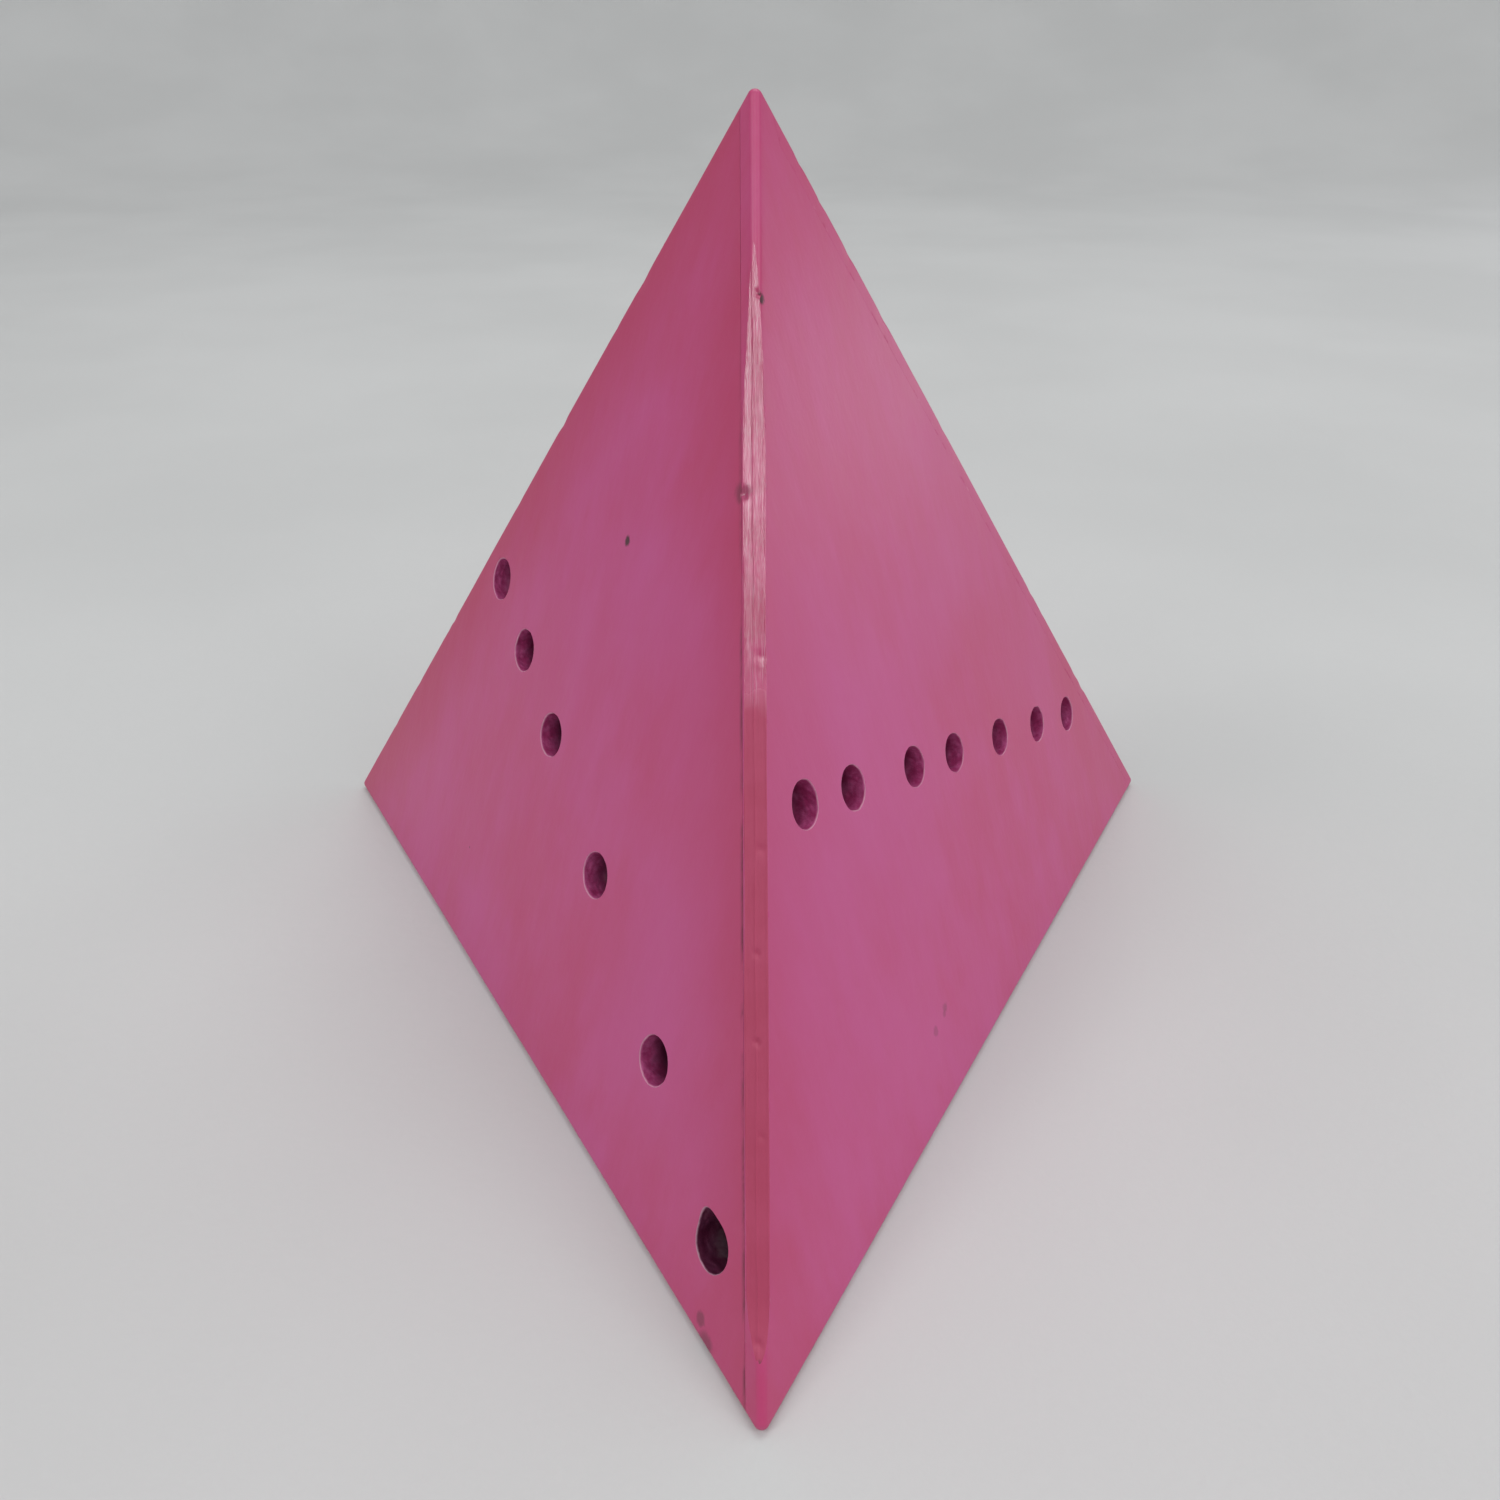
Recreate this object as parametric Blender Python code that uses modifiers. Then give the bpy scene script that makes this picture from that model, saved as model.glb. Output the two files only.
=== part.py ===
"""A knock-down casting mould in the form of a regular tetrahedron.

A base and three walls close round a silicone liner. The form stands on its base with one
slanted edge to the front, at -Y, and its box is centred over the origin. Lengths are in metres.
"""
import math

import bmesh
import bpy
from mathutils import Matrix, Vector

# Outer form
EDGE = 0.110                # edge between two sharp corners
EDGE_ROUND = 0.0007         # radius along the outer edges
ROUND_STEPS = 4
WALL = 0.007                # thickness of the base and of each wall
SEAM_INSET = 0.0012         # from where an edge's rounding ends to the seam beside it
GAP = 0.0003                # clearance between neighbouring pieces

# Rows of drilled pits: one row on each wall, from its right-hand foot to the middle of its
# left-hand edge. Stations are shares of the wall's median, measured from the row's pivot.
LEFT_ROW = {
    "pivot": 0.2925, "skew": math.radians(3.8), "bore": 0.0045,
    "stations": (-0.134, 0.037, 0.240, 0.420, 0.542, 0.654),
    "depths": (0.0017, 0.0032, 0.0022, 0.0030, 0.0028, 0.0016),
}
RIGHT_ROW = {
    "pivot": 0.6406, "skew": math.radians(11.9), "bore": 0.0041,
    "stations": (-0.370, -0.264, -0.146, -0.020, 0.077, 0.205, 0.292),
    "depths": (0.0021, 0.0028, 0.0030, 0.0030, 0.0028, 0.0026, 0.0022),
}
PIT_POINT = 0.0012          # depth of the drill point below a pit's wall
PIT_SIDES = 24

# Locating dowels
DOWEL_RADIUS = 0.00125
DOWEL_LENGTH = 0.006
DOWEL_CHAMFER = 0.0003
DOWEL_SPREAD = 0.022        # from the middle of a slanted edge to each of its two dowels
DOWEL_DEPTH_SHARE = 0.62    # where a dowel crosses the seam, from outside to inside
DOWEL_STEPS = 16

# Silicone liner, its floor pad and its seal
LINER = 0.0025              # thickness of the liner and of the pad
LINER_ROUND = 0.0008        # outer edges of the liner
CAVITY_ROUND = 0.0005       # edges of the cavity
SEAL_RADIUS = 0.0007
SEAL_CORNER = 0.003         # bend of the seal's centre line at its corners

# Pour hole and vents, closed by stoppers that pull out below
POUR_TOP = 0.006            # radius at the cavity floor
POUR_FOOT = 0.007           # radius under the base
POUR_HEAD = 0.0088          # radius of the stopper's head
VENT_TOP = 0.0012
VENT_FOOT = 0.0016
VENT_HEAD = 0.003
VENT_FROM_CORNER = 0.010    # from a corner of the cavity floor to its vent
HEAD_THICK = 0.0018
HEAD_RECESS = 0.0010        # from the underside of the base up to a head
GRIP_RADIUS = 0.0016        # pull hole in the middle of the pour stopper's head
GRIP_DEPTH = 0.0045
STOPPER_STEPS = 32

# A regular tetrahedron: the radii and heights that follow from its edge
RADIUS = EDGE / math.sqrt(3)
MEDIAN = EDGE * math.sqrt(3) / 2
INRADIUS = EDGE / (2 * math.sqrt(6))
NORMAL_OUT = math.sqrt(8) / 3       # horizontal part of a wall's unit normal
NORMAL_UP = 1 / 3                   # upright part of it
HALF_ANGLE = math.acos(1 / 3) / 2   # half the angle between two faces
ROUND_FOOT = EDGE_ROUND / math.tan(HALF_ANGLE)      # from a sharp edge to its rounding's end
ROUND_SCALE = (INRADIUS - EDGE_ROUND) / INRADIUS
CENTRE = Vector((0, ROUND_SCALE * RADIUS / 4, INRADIUS))
FLOOR = WALL + GAP + LINER          # height of the cavity floor
REACH = 3 * EDGE                    # size of cutting blocks

TIP_SIDE = "right"
WALL_TURNS = {"right": math.radians(-30), "back": math.radians(90), "left": math.radians(210)}
CORNER_TURNS = {"front": math.radians(-90), "right": math.radians(30), "left": math.radians(150)}


def half_width(height, inset):
    """Level distance from the upright axis to a wall's plane moved inwards by inset."""
    return (INRADIUS - inset - NORMAL_UP * (height - INRADIUS)) / NORMAL_OUT


def wall_normal(turn):
    return Vector((NORMAL_OUT * math.cos(turn), NORMAL_OUT * math.sin(turn), NORMAL_UP))


def wall_frame(turn):
    """Frame on the middle of a wall's outer face: Z outwards, Y up the slope, X to the right."""
    z = wall_normal(turn)
    x = Vector((-math.sin(turn), math.cos(turn), 0))
    y = z.cross(x)
    axes = Matrix((x, y, z)).transposed().to_4x4()
    return Matrix.Translation(CENTRE + INRADIUS * z) @ axes


def along(point, direction):
    """Frame at a point with Z along a direction."""
    return Matrix.Translation(point) @ direction.to_track_quat("Z", "Y").to_matrix().to_4x4()


def clear_scene():
    for old in list(bpy.data.objects):
        bpy.data.objects.remove(old, do_unlink=True)


def new_collection(name):
    group = bpy.data.collections.new(name)
    bpy.context.scene.collection.children.link(group)
    return group


def new_material(name, colour, roughness, metallic=0.0):
    material = bpy.data.materials.new(name)
    material.use_nodes = True
    shader = material.node_tree.nodes["Principled BSDF"]
    shader.inputs["Base Color"].default_value = (*colour, 1.0)
    shader.inputs["Roughness"].default_value = roughness
    shader.inputs["Metallic"].default_value = metallic
    return material


def add_part(name, mesh, place, finish):
    """A named piece with a material of its own, made from a finish of (colour, roughness, metal)."""
    piece = bpy.data.objects.new(name, mesh)
    piece.matrix_world = place
    mesh.materials.append(new_material(name + "_finish", *finish))
    parts.objects.link(piece)
    return piece


def add_cutter(name, mesh, place):
    cutter = bpy.data.objects.new(name, mesh)
    cutter.matrix_world = place
    cutter.hide_render = True
    cutter.display_type = "WIRE"
    cutters.objects.link(cutter)
    return cutter


def boolean(piece, cutter, operation="DIFFERENCE", solver="MANIFOLD"):
    """Cut a piece. EXACT leaves slits where seams meet at a corner, so it only cuts round holes."""
    step = piece.modifiers.new(cutter.name, "BOOLEAN")
    step.operation = operation
    step.object = cutter
    step.solver = solver


def bevel(piece, width, segments):
    step = piece.modifiers.new("rounded_edges", "BEVEL")
    step.width = width
    step.segments = segments
    step.limit_method = "NONE"


def mesh_from(bm, name):
    mesh = bpy.data.meshes.new(name)
    bm.to_mesh(mesh)
    bm.free()
    return mesh


def three_sided(name, foot, low, top, high):
    """Mesh of a triangular frustum: half widths foot and top at heights low and high.

    A top of zero gives a point. One corner is at the front, at -Y.
    """
    bm = bmesh.new()
    bmesh.ops.create_cone(bm, cap_ends=True, segments=3, radius1=2 * foot, radius2=2 * top,
                          depth=high - low)
    bmesh.ops.remove_doubles(bm, verts=bm.verts, dist=0.00001)
    corner = max(bm.verts, key=lambda v: v.co.xy.length).co
    turn = Matrix.Rotation(CORNER_TURNS["front"] - math.atan2(corner.y, corner.x), 4, "Z")
    bmesh.ops.transform(bm, verts=bm.verts,
                        matrix=Matrix.Translation((0, 0, (low + high) / 2)) @ turn)
    return mesh_from(bm, name)


def face_blank(name, low, high):
    """Triangular plate rather larger than one face of the outer form, to be trimmed to it."""
    half = half_width(0, 0) + WALL
    return three_sided(name, half, low, half, high)


def nested_tetrahedron(name, inset, low):
    """Tetrahedron whose walls are the outer form's moved inwards by inset, standing at low."""
    point = INRADIUS + (INRADIUS - inset) / NORMAL_UP
    return three_sided(name, half_width(low, inset), low, 0, point)


def outline(name, profile):
    """Half outline of a turned shape: (radius, height) pairs from its top to its foot."""
    bm = bmesh.new()
    rim = [bm.verts.new((radius, 0, height)) for radius, height in profile]
    for upper, lower in zip(rim, rim[1:]):
        bm.edges.new((upper, lower))
    return mesh_from(bm, name)


def spin(piece, steps):
    """Turn a half outline about its piece's own Z axis."""
    step = piece.modifiers.new("turned", "SCREW")
    step.axis = "Z"
    step.angle = 2 * math.pi
    step.steps = steps
    step.render_steps = steps
    step.use_merge_vertices = True
    step.merge_threshold = 0.00001


def upright(turn=0.0, radius=0.0):
    """Place on the upright axis, or out from it at a turn and radius."""
    spot = Matrix.Translation((CENTRE.x + radius * math.cos(turn),
                               CENTRE.y + radius * math.sin(turn), 0))
    return spot @ Matrix.Rotation(turn, 4, "Z")


def seam_line(cut_back, nose):
    """Two points of a seam, outside and inside, and the direction of its edge.

    The seam starts on the cut back face, just beside the edge, so that the other piece keeps
    the rounded nose of the edge. It ends at the inner corner, where the two inner faces meet.
    """
    middle = CENTRE + 1.5 * INRADIUS * (cut_back + nose)
    inwards = (-nose - cut_back / 3).normalized()
    outer = middle + inwards * (ROUND_FOOT + SEAM_INSET)
    inner = middle + inwards * (WALL / math.tan(HALF_ANGLE)) - cut_back * WALL
    return outer, inner, cut_back.cross(nose).normalized()


def seam_block(name, cut_back, nose, on_nose, start):
    """Cutting block on the nose side of a seam or on the other, from a distance off the seam.

    A start below zero carries the block past the seam.
    """
    outer, inner, edge = seam_line(cut_back, nose)
    facing = edge.cross(inner - outer).normalized()
    if (facing.dot(nose) > 0) != on_nose:
        facing = -facing
    bm = bmesh.new()
    bmesh.ops.create_cube(bm, size=REACH)
    centre = outer + facing * (REACH / 2 + start)
    return add_cutter(name, mesh_from(bm, name), along(centre, facing))


def base_zone(name, growth, low, high):
    """The base's frustum between two heights, its slanted sides moved outwards by growth.

    Its sides run from the seams under the walls' noses to the foot of the walls' inner faces.
    """
    foot = half_width(0, 0) - ROUND_FOOT - SEAM_INSET
    slope = (foot - half_width(WALL, WALL)) / WALL
    shift = growth * math.sqrt(1 + slope * slope)
    return three_sided(name, foot + shift - slope * low, low, foot + shift - slope * high, high)


def dowel_place(cut_back, nose, draw, offset):
    """Where a dowel crosses a seam, pointing along the way that the two pieces part."""
    outer, inner, edge = seam_line(cut_back, nose)
    return along(outer.lerp(inner, DOWEL_DEPTH_SHARE) + edge * offset, draw)


def add_dowel(name, place):
    """A steel dowel with chamfered ends, and the cutter for the two blind holes that it fills."""
    half = DOWEL_LENGTH / 2
    neck = DOWEL_RADIUS - DOWEL_CHAMFER
    profile = [(0, half), (neck, half), (DOWEL_RADIUS, half - DOWEL_CHAMFER),
               (DOWEL_RADIUS, DOWEL_CHAMFER - half), (neck, -half), (0, -half)]
    spin(add_part(name, outline(name, profile), place, STEEL), DOWEL_STEPS)
    bore = DOWEL_RADIUS + GAP
    end = half + GAP
    profile = [(0, end), (bore, end), (bore, -end), (0, -end)]
    hole = add_cutter(name + "_hole", outline(name + "_hole", profile), place)
    spin(hole, DOWEL_STEPS)
    return hole


def pit_row(name, row, place):
    """Cutter with one drill-shaped body for each pit of a row, in its wall's frame."""
    foot = Vector((EDGE / 2, -RADIUS / 2, 0))
    median = Vector((math.cos(math.radians(150)), math.sin(math.radians(150)), 0))
    heading = Matrix.Rotation(row["skew"], 3, "Z") @ median
    pivot = foot + median * (row["pivot"] * MEDIAN)
    proud = row["bore"]
    bm = bmesh.new()
    for station, depth in zip(row["stations"], row["depths"]):
        spot = pivot + heading * (station * MEDIAN)
        made = bmesh.ops.create_cone(bm, cap_ends=True, cap_tris=True, segments=PIT_SIDES,
                                     radius1=row["bore"] / 2, radius2=row["bore"] / 2,
                                     depth=depth + proud)
        verts = made["verts"]
        tip = min(verts, key=lambda v: (v.co.xy.length > 0.0001, v.co.z))
        tip.co.z -= PIT_POINT
        bmesh.ops.translate(bm, verts=verts, vec=spot + Vector((0, 0, (proud - depth) / 2)))
    return add_cutter(name, mesh_from(bm, name), place)


def add_wall(side, row):
    """One wall: a plate on its face of the outer form, trimmed at its three seams.

    The three slanted seams miss each other at the top and leave a thin three-sided tip between
    them. The wall named by TIP_SIDE carries it.
    """
    turn = WALL_TURNS[side]
    frame = wall_frame(turn)
    name = side + "_wall"
    wall = add_part(name, face_blank(name, -WALL, EDGE_ROUND), frame, PINK)
    wall.data.transform(Matrix.Rotation(math.pi, 4, "Z"))
    boolean(wall, outer_form, "INTERSECT")
    normal = wall_normal(turn)
    after = wall_normal(turn + math.radians(120))
    before = wall_normal(turn - math.radians(120))
    boolean(wall, base_form)
    boolean(wall, seam_block(side + "_nose_block", before, normal, False, -GAP / 2))
    next_block = seam_block(side + "_next_block", normal, after, True, -GAP / 2)
    if side == TIP_SIDE:
        boolean(next_block, seam_block("tip_block", after, before, True, GAP / 2))
    boolean(wall, next_block)
    boolean(wall, pit_row(side + "_pits", row, frame), solver="EXACT")
    return wall


def bore_cutter(name, place, top, foot, head):
    """Cutter for a tapered hole through the base and the pad, with a seat for a head."""
    over = HEAD_RECESS
    rise = (top - foot) / FLOOR
    seat = HEAD_RECESS + HEAD_THICK
    profile = [(0, FLOOR + over), (top + rise * over, FLOOR + over),
               (foot + rise * seat, seat), (head, seat), (head, -over), (0, -over)]
    cutter = add_cutter(name, outline(name, profile), place)
    spin(cutter, STOPPER_STEPS)
    return cutter


def add_stopper(name, place, top, foot, head, grip):
    """Tapered silicone stopper, a gap smaller than its hole, flush with the cavity floor."""
    rise = (top - foot) / FLOOR
    seat = HEAD_RECESS + HEAD_THICK - GAP
    profile = [(0, FLOOR), (top - GAP, FLOOR), (foot + rise * seat - GAP, seat),
               (head - GAP, seat), (head - GAP, HEAD_RECESS)]
    if grip:
        profile += [(grip, HEAD_RECESS), (grip, HEAD_RECESS + GRIP_DEPTH),
                    (0, HEAD_RECESS + GRIP_DEPTH)]
    else:
        profile += [(0, HEAD_RECESS)]
    spin(add_part(name, outline(name, profile), place, SILICONE), STOPPER_STEPS)


def seal_curve(name, thickness):
    """Closed round cord along the middle of the liner's rim, rounded at the three corners."""
    outer = half_width(WALL + GAP, WALL + GAP)
    inner = half_width(WALL + GAP, WALL + GAP + LINER)
    half = (outer + inner) / 2
    bend = 2 * (half - SEAL_CORNER)
    points = []
    for turn in CORNER_TURNS.values():
        for step in range(-4, 5):
            angle = turn + math.radians(15 * step)
            points.append((bend * math.cos(turn) + SEAL_CORNER * math.cos(angle),
                           bend * math.sin(turn) + SEAL_CORNER * math.sin(angle)))
    curve = bpy.data.curves.new(name, "CURVE")
    curve.dimensions = "3D"
    curve.bevel_depth = thickness
    curve.bevel_resolution = 2
    line = curve.splines.new("POLY")
    line.points.add(len(points) - 1)
    for spot, (x, y) in zip(line.points, points):
        spot.co = (x, y, WALL - SEAL_RADIUS, 1)
    line.use_cyclic_u = True
    return curve


def groove_cutter():
    """The seal's cord a gap thicker, made a mesh so that it can cut."""
    source = bpy.data.objects.new("groove_line", seal_curve("groove_line", SEAL_RADIUS + GAP))
    cutters.objects.link(source)
    bpy.context.view_layer.update()
    evaluated = source.evaluated_get(bpy.context.evaluated_depsgraph_get())
    mesh = bpy.data.meshes.new_from_object(evaluated)
    bpy.data.objects.remove(source, do_unlink=True)
    bm = bmesh.new()
    bm.from_mesh(mesh)
    bmesh.ops.remove_doubles(bm, verts=bm.verts, dist=0.00001)
    bm.to_mesh(mesh)
    bm.free()
    return add_cutter("seal_groove", mesh, upright())


def add_pad():
    """Silicone pad that closes the liner's mouth and forms the cavity floor."""
    inset = WALL + LINER + 2 * GAP
    low = WALL + GAP
    mesh = three_sided("floor_pad", half_width(low, inset), low, half_width(FLOOR, inset), FLOOR)
    bm = bmesh.new()
    bm.from_mesh(mesh)
    bm.edges.ensure_lookup_table()
    slanted = [e for e in bm.edges if abs(e.verts[0].co.z - e.verts[1].co.z) > LINER / 2]
    bmesh.ops.bevel(bm, geom=slanted, offset=2 * CAVITY_ROUND, segments=3, profile=0.5,
                    affect="EDGES")
    bm.to_mesh(mesh)
    bm.free()
    return add_part("floor_pad", mesh, upright(), SILICONE)


def add_liner():
    """Silicone liner: a hollow tetrahedron, open at its foot."""
    low = WALL + GAP
    liner = add_part("silicone_liner", nested_tetrahedron("silicone_liner", WALL + GAP, low),
                     upright(), SILICONE)
    bevel(liner, LINER_ROUND, 2)
    inset = WALL + GAP + LINER
    cavity = add_cutter("cavity", nested_tetrahedron("cavity", inset, low - 2 * LINER), upright())
    bevel(cavity, CAVITY_ROUND, 2)
    boolean(liner, cavity)


clear_scene()
parts = new_collection("tetrahedral_casting_mould")
cutters = new_collection("cutters")

PINK = ((0.66, 0.16, 0.34), 0.42)
SILICONE = ((0.80, 0.80, 0.76), 0.55)
STEEL = ((0.60, 0.60, 0.62), 0.30, 1.0)

outer_form = add_cutter("outer_form", nested_tetrahedron("outer_form", 0, 0), upright())
bevel(outer_form, ROUND_FOOT, ROUND_STEPS)

base_form = add_cutter("base_form", base_zone("base_form", GAP / 2, -WALL, WALL + GAP), upright())

walls = {side: add_wall(side, RIGHT_ROW if side == "right" else LEFT_ROW) for side in WALL_TURNS}
base_plate = add_part("base_plate", base_zone("base_plate", -GAP / 2, 0, WALL), upright(), PINK)

# Two dowels across each slanted seam, and one across each seam of the base
for corner, cut_side, nose_side in (("front", "left", "right"), ("right", "right", "back"),
                                    ("left", "back", "left")):
    cut_back = wall_normal(WALL_TURNS[cut_side])
    nose = wall_normal(WALL_TURNS[nose_side])
    for level, offset in (("upper", DOWEL_SPREAD), ("lower", -DOWEL_SPREAD)):
        seat = dowel_place(cut_back, nose, (nose - cut_back).normalized(), offset)
        hole = add_dowel(f"{corner}_{level}_dowel", seat)
        boolean(walls[cut_side], hole, solver="EXACT")
        boolean(walls[nose_side], hole, solver="EXACT")
for side, turn in WALL_TURNS.items():
    normal = wall_normal(turn)
    hole = add_dowel(side + "_base_dowel", dowel_place(Vector((0, 0, -1)), normal, normal, 0))
    boolean(walls[side], hole, solver="EXACT")
    boolean(base_plate, hole)

floor_pad = add_pad()
add_liner()
boolean(base_plate, groove_cutter())
rim_seal = bpy.data.objects.new("rim_seal", seal_curve("rim_seal", SEAL_RADIUS))
rim_seal.matrix_world = upright()
rim_seal.data.materials.append(new_material("rim_seal_finish", *SILICONE))
parts.objects.link(rim_seal)

pour_hole = bore_cutter("pour_hole", upright(), POUR_TOP, POUR_FOOT, POUR_HEAD)
boolean(base_plate, pour_hole)
boolean(floor_pad, pour_hole)
add_stopper("pour_stopper", upright(), POUR_TOP, POUR_FOOT, POUR_HEAD, GRIP_RADIUS)

vent_radius = 2 * half_width(FLOOR, FLOOR) - VENT_FROM_CORNER
for corner, turn in CORNER_TURNS.items():
    spot = upright(turn, vent_radius)
    vent_hole = bore_cutter(corner + "_vent_hole", spot, VENT_TOP, VENT_FOOT, VENT_HEAD)
    boolean(base_plate, vent_hole)
    boolean(floor_pad, vent_hole)
    add_stopper(corner + "_vent_stopper", spot, VENT_TOP, VENT_FOOT, VENT_HEAD, 0)
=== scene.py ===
"""A knock-down tetrahedral casting mould: pink resin walls round a milky silicone liner."""
import math

import bmesh
import bpy
import numpy as np
from mathutils import Matrix, Vector


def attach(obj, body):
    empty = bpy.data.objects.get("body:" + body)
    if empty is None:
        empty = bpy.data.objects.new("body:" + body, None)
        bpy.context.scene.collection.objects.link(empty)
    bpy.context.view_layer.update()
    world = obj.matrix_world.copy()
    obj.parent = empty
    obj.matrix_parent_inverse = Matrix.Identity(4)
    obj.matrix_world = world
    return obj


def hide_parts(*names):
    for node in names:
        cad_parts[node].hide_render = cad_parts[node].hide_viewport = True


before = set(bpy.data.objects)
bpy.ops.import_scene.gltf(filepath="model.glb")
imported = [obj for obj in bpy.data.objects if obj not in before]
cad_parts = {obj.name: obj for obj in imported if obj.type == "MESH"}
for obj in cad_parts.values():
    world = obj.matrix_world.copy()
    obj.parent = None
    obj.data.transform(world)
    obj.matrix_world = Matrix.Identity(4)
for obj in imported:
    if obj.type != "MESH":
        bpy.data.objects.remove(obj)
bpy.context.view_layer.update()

# ---------------------------------------------------------------------------------------------
# Base plate. A three-sided slab of cast pink resin that lies inside the feet of the walls.
# Its slanted sides are sanded to the seams, the pour hole and the vents are drilled and
# countersunk, and a round groove is milled for the rim seal.

EDGE = 0.110                # edge of the outer form between its sharp corners
EDGE_ROUND = 0.0007         # radius of the rolled edges
WALL = 0.007                # thickness of the walls and of the base
SEAM_INSET = 0.0012         # from the end of an edge's rounding to the seam beside it
GAP = 0.0003                # working clearance between pieces that come apart
LINER = 0.0025              # thickness of the silicone
RADIUS = EDGE / math.sqrt(3)
MEDIAN = EDGE * math.sqrt(3) / 2
INRADIUS = EDGE / (2 * math.sqrt(6))
LEVEL = math.sqrt(8) / 3    # level part of a wall's unit normal, whose upright part is a third
HALF_ANGLE = math.acos(1 / 3) / 2
ROUND_FOOT = EDGE_ROUND / math.tan(HALF_ANGLE)      # from a sharp edge to where its rounding ends
CENTRE = np.array((0, (1 - EDGE_ROUND / INRADIUS) * RADIUS / 4, INRADIUS))
FLOOR = WALL + GAP + LINER  # height of the cavity's floor
WALL_TURNS = {"right": math.radians(-30), "back": math.radians(90), "left": math.radians(210)}
CORNER_TURNS = {"front": math.radians(-90), "right": math.radians(30), "left": math.radians(150)}


def half_width(height, inset):
    """Level distance from the upright axis to a wall's plane moved inwards by inset."""
    return (INRADIUS - inset - (height - INRADIUS) / 3) / LEVEL


def on_axis(turn=0.0, out=0.0):
    """Place out from the form's upright axis at a turn."""
    spot = (CENTRE[0] + out * math.cos(turn), CENTRE[1] + out * math.sin(turn), 0)
    return Matrix.Translation(spot) @ Matrix.Rotation(turn, 4, "Z")


def new_object(name, points, faces, material, place=None):
    """Mesh object with welded points, moved to its place in its mesh."""
    bm = bmesh.new()
    mesh = bpy.data.meshes.new(name)
    mesh.from_pydata(points.reshape(-1, 3).tolist(), [], faces)
    bm.from_mesh(mesh)
    bmesh.ops.remove_doubles(bm, verts=bm.verts, dist=1e-7)
    bmesh.ops.dissolve_degenerate(bm, edges=bm.edges, dist=1e-8)
    bmesh.ops.recalc_face_normals(bm, faces=bm.faces)
    bm.to_mesh(mesh)
    bm.free()
    mesh.transform(place or Matrix.Identity(4))
    mesh.materials.append(material)
    piece = bpy.data.objects.new(name, mesh)
    bpy.context.scene.collection.objects.link(piece)
    return piece


def around(name, grid, material, place=None):
    """Closed skin over a grid of rings: row after row of points, each row going once round.

    The first and last rows are single points, which close the two ends.
    """
    rows, columns = grid.shape[:2]
    here = np.arange(rows * columns).reshape(rows, columns)
    onward = np.roll(here, -1, axis=1)
    quads = np.stack([here[:-1], onward[:-1], onward[1:], here[1:]], axis=-1).reshape(-1, 4)
    return new_object(name, grid, quads.tolist(), material, place)


def lathe(name, profile, material, place=None, sides=64):
    """Turned shape: each (radius, height) of the profile is swept round Z."""
    radius, height = np.array(profile, float).T
    turn = np.linspace(0, 2 * math.pi, sides, endpoint=False)
    grid = np.stack([np.outer(radius, np.cos(turn)), np.outer(radius, np.sin(turn)),
                     np.outer(height, np.ones(sides))], axis=-1)
    return around(name, grid, material, place)


def frustum(name, low, high, low_half, high_half, material):
    """Three-sided slab between two heights, its half widths given at each."""
    turns = np.array([CORNER_TURNS[c] for c in ("front", "right", "left")])
    ring = np.stack([np.cos(turns), np.sin(turns), 0 * turns], axis=-1)
    points = np.concatenate([ring * 2 * low_half + (0, 0, low),
                             ring * 2 * high_half + (0, 0, high)])
    faces = [(2, 1, 0), (3, 4, 5), (0, 1, 4, 3), (1, 2, 5, 4), (2, 0, 3, 5)]
    return new_object(name, points, faces, material, on_axis())


spent = set()               # names of the cutters, which are removed at the end


def cut(piece, cutter, operation="DIFFERENCE"):
    """Boolean cut that leaves the cutter's material on the new faces."""
    step = piece.modifiers.new(cutter.name, "BOOLEAN")
    step.operation = operation
    step.solver = "MANIFOLD"
    step.material_mode = "TRANSFER"
    step.object = cutter
    spent.add(cutter.name)


def read(items, name, width, kind):
    """One attribute of all the items of a mesh, as an array."""
    values = np.empty((len(items), width), kind)
    items.foreach_get(name, values.ravel())
    return values


WELD_DECIMALS = 7           # vertices are kept to a ten-thousandth of a millimetre


def weld(mesh):
    """Plain triangles with one vertex at each place.

    A cut can leave a flat pair of triangles back to back. Both are dropped, and so is a
    triangle that has shrunk to a line.
    """
    mesh.calc_loop_triangles()
    places = read(mesh.vertices, "co", 3, np.float32).round(WELD_DECIMALS)
    places, where = np.unique(places, axis=0, return_inverse=True)
    corners = where.reshape(-1)[read(mesh.loop_triangles, "vertices", 3, np.int32)]
    slots = read(mesh.polygons, "material_index", 1, np.int32)
    slots = slots[read(mesh.loop_triangles, "polygon_index", 1, np.int32).ravel()].ravel()
    ranked = np.sort(corners, axis=1)
    _, kind, times = np.unique(ranked, axis=0, return_inverse=True, return_counts=True)
    keep = (times[kind.reshape(-1)] == 1) & (np.diff(ranked, axis=1) > 0).all(axis=1)
    used, corners = np.unique(corners[keep], return_inverse=True)
    made = bpy.data.meshes.new(mesh.name)
    made.from_pydata(places[used].tolist(), [], corners.reshape(-1, 3).tolist())
    for material in mesh.materials:
        made.materials.append(material)
    made.polygons.foreach_set("material_index", slots[keep])
    made.update()
    return made


def settle(piece, body, node, sharp=35):
    """Turns the modifiers into a plain mesh, shades it, and ties the piece to its CAD node."""
    view = bpy.context.evaluated_depsgraph_get()
    view.update()
    mesh = weld(bpy.data.meshes.new_from_object(piece.evaluated_get(view), depsgraph=view))
    piece.modifiers.clear()
    piece.data = mesh
    mesh.name = piece.name
    mesh.shade_smooth()
    mesh.set_sharp_from_angle(angle=math.radians(sharp))
    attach(piece, body)
    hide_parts(node)


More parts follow.
